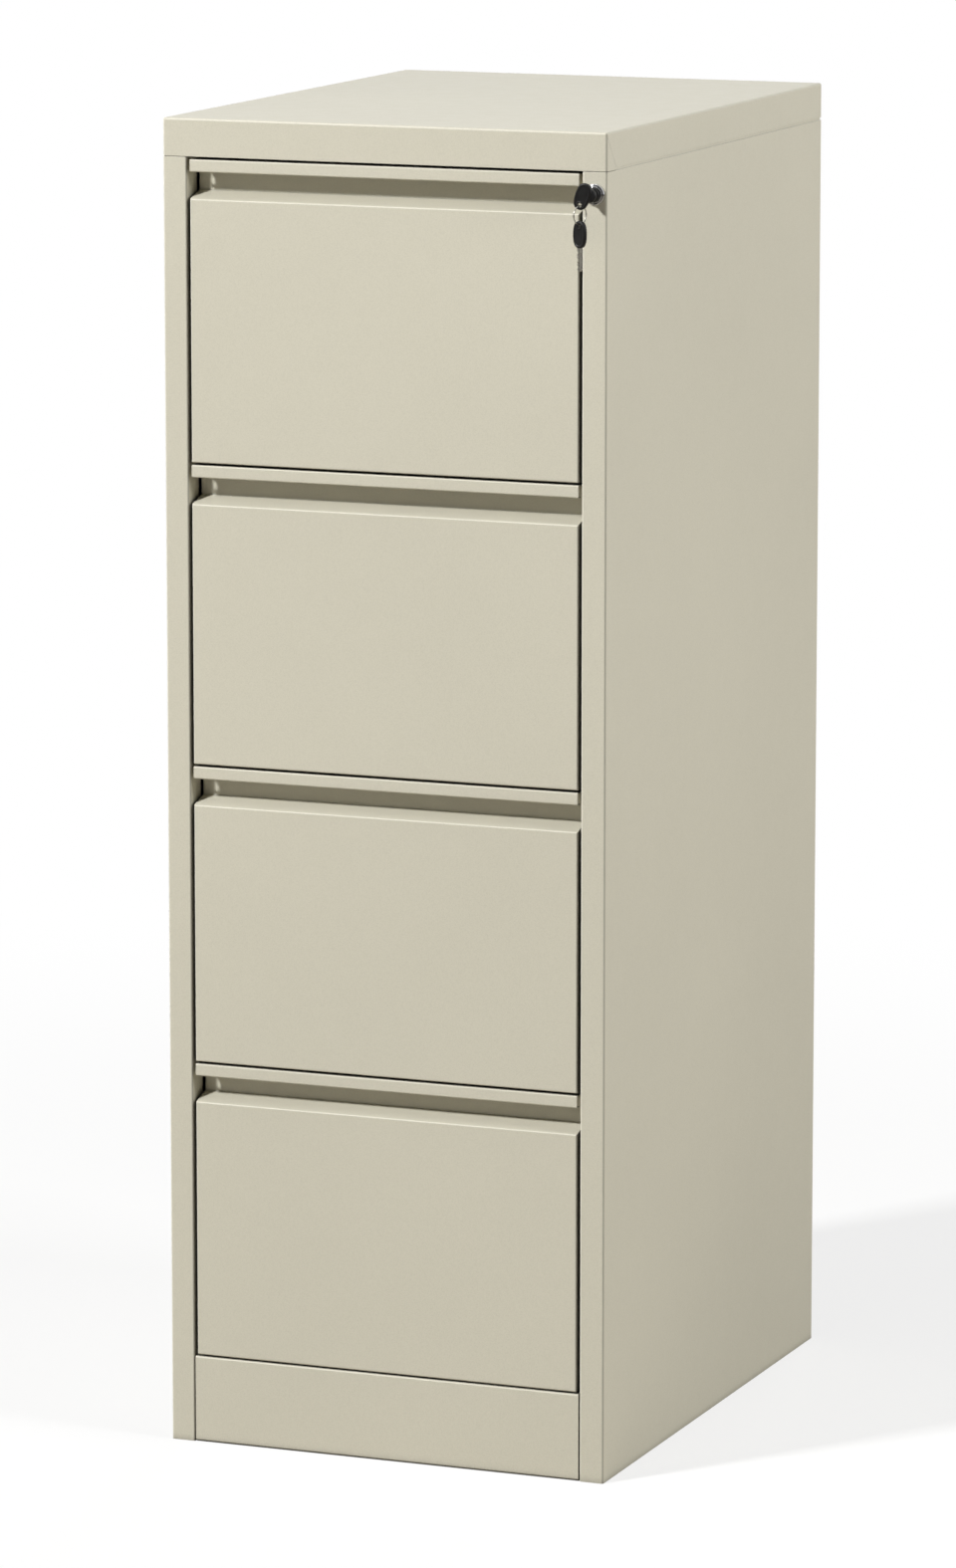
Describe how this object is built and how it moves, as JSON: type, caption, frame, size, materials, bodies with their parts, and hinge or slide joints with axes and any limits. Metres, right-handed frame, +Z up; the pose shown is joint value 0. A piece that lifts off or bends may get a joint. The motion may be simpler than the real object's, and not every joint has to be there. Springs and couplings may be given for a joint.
{
  "type": "filing cabinet",
  "caption": "Upright sheet-steel filing cabinet: flush drawers with full-width pull recesses on telescopic runners, kick plinth, and a cam lock with hanging keys that bars the drawers.",
  "frame": {"origin": "on the floor, under the centre of the cabinet's body", "axes": "+X to the cabinet's right as seen from its front, +Y to its back, +Z up"},
  "size_m": [0.46, 0.6515, 1.32],
  "materials": {
    "cabinet_paint": "fine-textured powder coat, light beige grey",
    "zinc_steel": "zinc-plated steel",
    "key_steel": "nickel-plated steel",
    "lock_chrome": "polished chrome",
    "black_plastic": "smooth moulded plastic",
    "rubber": "matt rubber",
    "guide_plastic": "moulded nylon"
  },
  "bodies": {
    "cabinet": {"top_cover": "cabinet_paint", "top_front_rail": "cabinet_paint", "left_side_panel": "cabinet_paint", "right_side_panel": "cabinet_paint", "back_panel": "cabinet_paint", "base_pan": "cabinet_paint", "plinth": "cabinet_paint", "left_uprights": "zinc_steel", "right_uprights": "zinc_steel", "panel_screws": "zinc_steel", "runner_buffers": "rubber", "lock_barrel": "lock_chrome", "lock_nut": "zinc_steel", "lock_bar_guides": "guide_plastic", "runner_1_outer": "zinc_steel", "runner_2_outer": "zinc_steel", "runner_3_outer": "zinc_steel", "runner_4_outer": "zinc_steel"},
    "drawer_1": {"drawer_1_front": "cabinet_paint", "drawer_1_inner_panel": "cabinet_paint", "drawer_1_tray": "cabinet_paint", "drawer_1_back": "cabinet_paint", "drawer_1_catch": "zinc_steel", "drawer_1_screws": "zinc_steel", "runner_1_inner": "zinc_steel"},
    "runner_1": {"runner_1_middle": "zinc_steel"},
    "drawer_2": {"drawer_2_front": "cabinet_paint", "drawer_2_inner_panel": "cabinet_paint", "drawer_2_tray": "cabinet_paint", "drawer_2_back": "cabinet_paint", "drawer_2_catch": "zinc_steel", "drawer_2_screws": "zinc_steel", "runner_2_inner": "zinc_steel"},
    "runner_2": {"runner_2_middle": "zinc_steel"},
    "drawer_3": {"drawer_3_front": "cabinet_paint", "drawer_3_inner_panel": "cabinet_paint", "drawer_3_tray": "cabinet_paint", "drawer_3_back": "cabinet_paint", "drawer_3_catch": "zinc_steel", "drawer_3_screws": "zinc_steel", "runner_3_inner": "zinc_steel"},
    "runner_3": {"runner_3_middle": "zinc_steel"},
    "drawer_4": {"drawer_4_front": "cabinet_paint", "drawer_4_inner_panel": "cabinet_paint", "drawer_4_tray": "cabinet_paint", "drawer_4_back": "cabinet_paint", "drawer_4_catch": "zinc_steel", "drawer_4_screws": "zinc_steel", "runner_4_inner": "zinc_steel"},
    "runner_4": {"runner_4_middle": "zinc_steel"},
    "lock_plug": {"lock_plug": "lock_chrome", "lock_crank": "zinc_steel", "crank_screw": "zinc_steel"},
    "lock_bar": {"lock_bar": "zinc_steel", "lock_bar_tabs": "zinc_steel"},
    "key": {"key_blade": "key_steel", "key_bow": "black_plastic"},
    "key_ring": {"key_ring": "key_steel"},
    "spare_key": {"spare_key_blade": "key_steel", "spare_key_bow": "black_plastic"}
  },
  "joints": [
    {"name": "drawer_1_slide", "type": "slide", "parent": "cabinet", "child": "drawer_1", "axis": [0, -1, 0], "range_m": [0, 0.53]},
    {"name": "drawer_2_slide", "type": "slide", "parent": "cabinet", "child": "drawer_2", "axis": [0, -1, 0], "range_m": [0, 0.53]},
    {"name": "drawer_3_slide", "type": "slide", "parent": "cabinet", "child": "drawer_3", "axis": [0, -1, 0], "range_m": [0, 0.53]},
    {"name": "drawer_4_slide", "type": "slide", "parent": "cabinet", "child": "drawer_4", "axis": [0, -1, 0], "range_m": [0, 0.53]},
    {"name": "runner_1_slide", "type": "slide", "parent": "cabinet", "child": "runner_1", "axis": [0, -1, 0], "range_m": [0, 0.265]},
    {"name": "runner_2_slide", "type": "slide", "parent": "cabinet", "child": "runner_2", "axis": [0, -1, 0], "range_m": [0, 0.265]},
    {"name": "runner_3_slide", "type": "slide", "parent": "cabinet", "child": "runner_3", "axis": [0, -1, 0], "range_m": [0, 0.265]},
    {"name": "runner_4_slide", "type": "slide", "parent": "cabinet", "child": "runner_4", "axis": [0, -1, 0], "range_m": [0, 0.265]},
    {"name": "lock_turn", "type": "hinge", "parent": "cabinet", "child": "lock_plug", "pos_m": [0.2178, -0.31, 1.261], "axis": [0, -1, 0], "range_deg": [0, 90]},
    {"name": "lock_bar_lift", "type": "slide", "parent": "cabinet", "child": "lock_bar", "axis": [0, 0, 1], "range_m": [0, 0.01131]},
    {"name": "key_slide", "type": "slide", "parent": "lock_plug", "child": "key", "axis": [0, -1, 0], "range_m": [0, 0.03]},
    {"name": "key_ring_swing", "type": "hinge", "parent": "key", "child": "key_ring", "pos_m": [0.21047, -0.33025, 1.25262], "axis": [0, 1, 0], "range_deg": [-20, 100]},
    {"name": "spare_key_swing", "type": "hinge", "parent": "key_ring", "child": "spare_key", "pos_m": [0.21047, -0.33025, 1.23302], "axis": [0.342, 0.9397, 0], "range_deg": [-40, 20]}
  ],
  "couplings": [
    {"joint": "runner_1_slide", "follows": "drawer_1_slide", "ratio": 0.5},
    {"joint": "runner_2_slide", "follows": "drawer_2_slide", "ratio": 0.5},
    {"joint": "runner_3_slide", "follows": "drawer_3_slide", "ratio": 0.5},
    {"joint": "runner_4_slide", "follows": "drawer_4_slide", "ratio": 0.5},
    {"joint": "lock_turn", "follows": "lock_bar_lift", "rad_per_m": 138.84}
  ]
}
